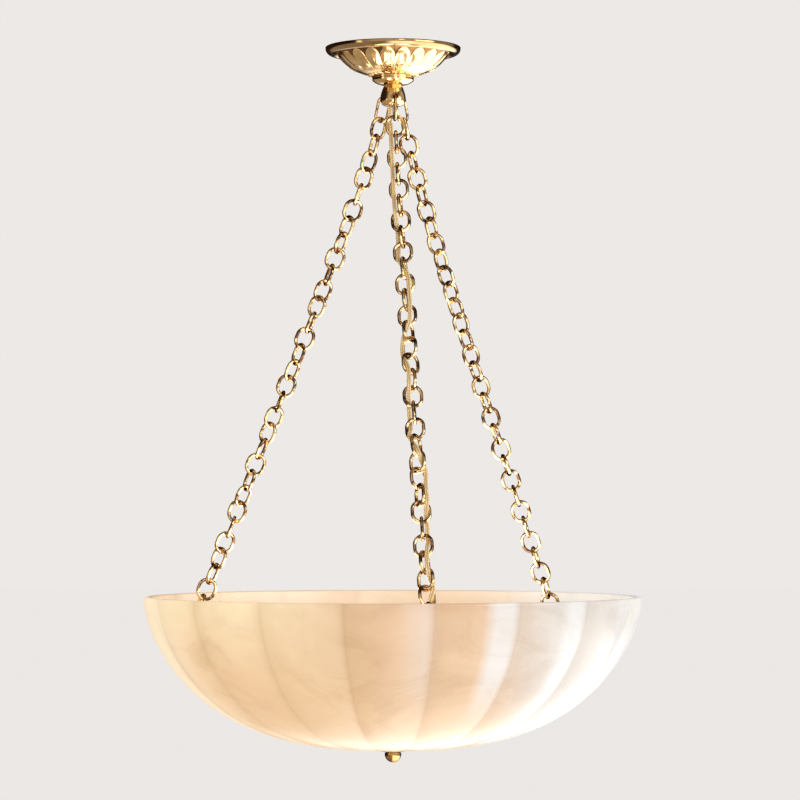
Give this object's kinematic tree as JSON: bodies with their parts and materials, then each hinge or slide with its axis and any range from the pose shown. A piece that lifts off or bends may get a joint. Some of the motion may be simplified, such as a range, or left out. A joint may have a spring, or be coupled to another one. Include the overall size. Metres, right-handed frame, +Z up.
{
  "type": "bowl chandelier",
  "caption": "Chain-hung ceiling light: domed canopy, bell hub, chains to a wide lobed glass bowl, cord woven down one chain, ball finial below.",
  "frame": {"origin": "centre of the two bracket slots, on the ceiling plane, on the vertical axis", "axes": "+Z up towards the ceiling, -Y is the front, +X is right seen from the front"},
  "size_m": [0.6074, 0.611, 0.8779],
  "materials": {
    "polished_brass": "polished",
    "zinc_steel": "satin",
    "ground_screw_paint": "satin",
    "cord_jacket": "glossy",
    "lead_jacket": "matte",
    "connector_plastic": "glossy",
    "black_plastic": "matte",
    "socket_body": "matte",
    "lamp_metal": "satin",
    "lamp_frosted_glass": "frosted",
    "rubber": "matte",
    "alabaster_glass": "veined, polished"
  },
  "bodies": {
    "ceiling": {"ceiling_bar": "zinc_steel", "ground_screw": "ground_screw_paint", "nipple": "zinc_steel", "locknuts": "zinc_steel", "canopy": "polished_brass", "supply_leads": "lead_jacket", "wire_connectors": "connector_plastic", "cord_top": "cord_jacket"},
    "collar": {"collar_ring": "polished_brass"},
    "hub": {"bell_hub": "polished_brass"},
    "chain_front": {"hub_link_front": "polished_brass", "chain_front": "polished_brass", "cord_woven": "cord_jacket"},
    "chain_left": {"hub_link_left": "polished_brass", "chain_left": "polished_brass"},
    "chain_right": {"hub_link_right": "polished_brass", "chain_right": "polished_brass"},
    "bowl": {"eye_bolt_front": "zinc_steel", "eye_bolt_left": "zinc_steel", "eye_bolt_right": "zinc_steel", "eye_bolt_nuts": "zinc_steel", "arm_front": "zinc_steel", "arm_left": "zinc_steel", "arm_right": "zinc_steel", "centre_plate": "zinc_steel", "rivets": "zinc_steel", "centre_rod": "zinc_steel", "rod_nuts": "zinc_steel", "cluster_body": "zinc_steel", "cluster_lid": "zinc_steel", "stubs": "zinc_steel", "socket_1": "socket_body", "socket_2": "socket_body", "socket_3": "socket_body", "socket_shell_1": "lamp_metal", "socket_shell_2": "lamp_metal", "socket_shell_3": "lamp_metal", "socket_leads": "lead_jacket", "inner_washer": "zinc_steel", "inner_rubber": "rubber", "outer_rubber": "rubber", "outer_washer": "polished_brass", "glass_bowl": "alabaster_glass", "cord_in_bowl": "cord_jacket", "cord_bushing": "black_plastic", "cord_ties": "black_plastic"},
    "finial": {"finial": "polished_brass"},
    "lamp_1": {"lamp_base_1": "lamp_metal", "lamp_glass_1": "lamp_frosted_glass"},
    "lamp_2": {"lamp_base_2": "lamp_metal", "lamp_glass_2": "lamp_frosted_glass"},
    "lamp_3": {"lamp_base_3": "lamp_metal", "lamp_glass_3": "lamp_frosted_glass"}
  },
  "joints": [
    {"name": "collar_unscrew", "type": "hinge", "parent": "ceiling", "child": "collar", "pos_m": [0, 0, -0.0369], "axis": [0, 0, 1], "continuous": true},
    {"name": "hub_turn", "type": "hinge", "parent": "ceiling", "child": "hub", "pos_m": [0, 0, -0.0387], "axis": [0, 0, 1], "range_deg": [-170, 170]},
    {"name": "sway", "type": "hinge", "parent": "hub", "child": "bowl", "pos_m": [0, 0, -0.03852], "axis": [1, 0, 0], "range_deg": [-6, 6]},
    {"name": "sway_front", "type": "hinge", "parent": "hub", "child": "chain_front", "pos_m": [0.00185, -0.0117, -0.06829], "axis": [1, 0, 0], "range_deg": [-6.4, 6.4]},
    {"name": "sway_left", "type": "hinge", "parent": "hub", "child": "chain_left", "pos_m": [-0.01106, 0.00425, -0.06829], "axis": [1, 0, 0], "range_deg": [-6.4, 6.4]},
    {"name": "sway_right", "type": "hinge", "parent": "hub", "child": "chain_right", "pos_m": [0.00921, 0.00746, -0.06829], "axis": [1, 0, 0], "range_deg": [-6.4, 6.4]},
    {"name": "finial_unscrew", "type": "hinge", "parent": "bowl", "child": "finial", "pos_m": [0, 0, -0.8676], "axis": [0, 0, 1], "continuous": true},
    {"name": "lamp_1_unscrew", "type": "hinge", "parent": "bowl", "child": "lamp_1", "pos_m": [0.05602, -0.0215, -0.78214], "axis": [0.9336, -0.3584, 0], "continuous": true},
    {"name": "lamp_2_unscrew", "type": "hinge", "parent": "bowl", "child": "lamp_2", "pos_m": [-0.00939, 0.05926, -0.78214], "axis": [-0.1564, 0.9877, 0], "continuous": true},
    {"name": "lamp_3_unscrew", "type": "hinge", "parent": "bowl", "child": "lamp_3", "pos_m": [-0.04663, -0.03776, -0.78214], "axis": [-0.7771, -0.6293, 0], "continuous": true}
  ],
  "couplings": [
    {"joint": "sway_front", "follows": "sway", "ratio": 1.0474},
    {"joint": "sway_left", "follows": "sway", "ratio": 1.0474},
    {"joint": "sway_right", "follows": "sway", "ratio": 1.0474}
  ]
}
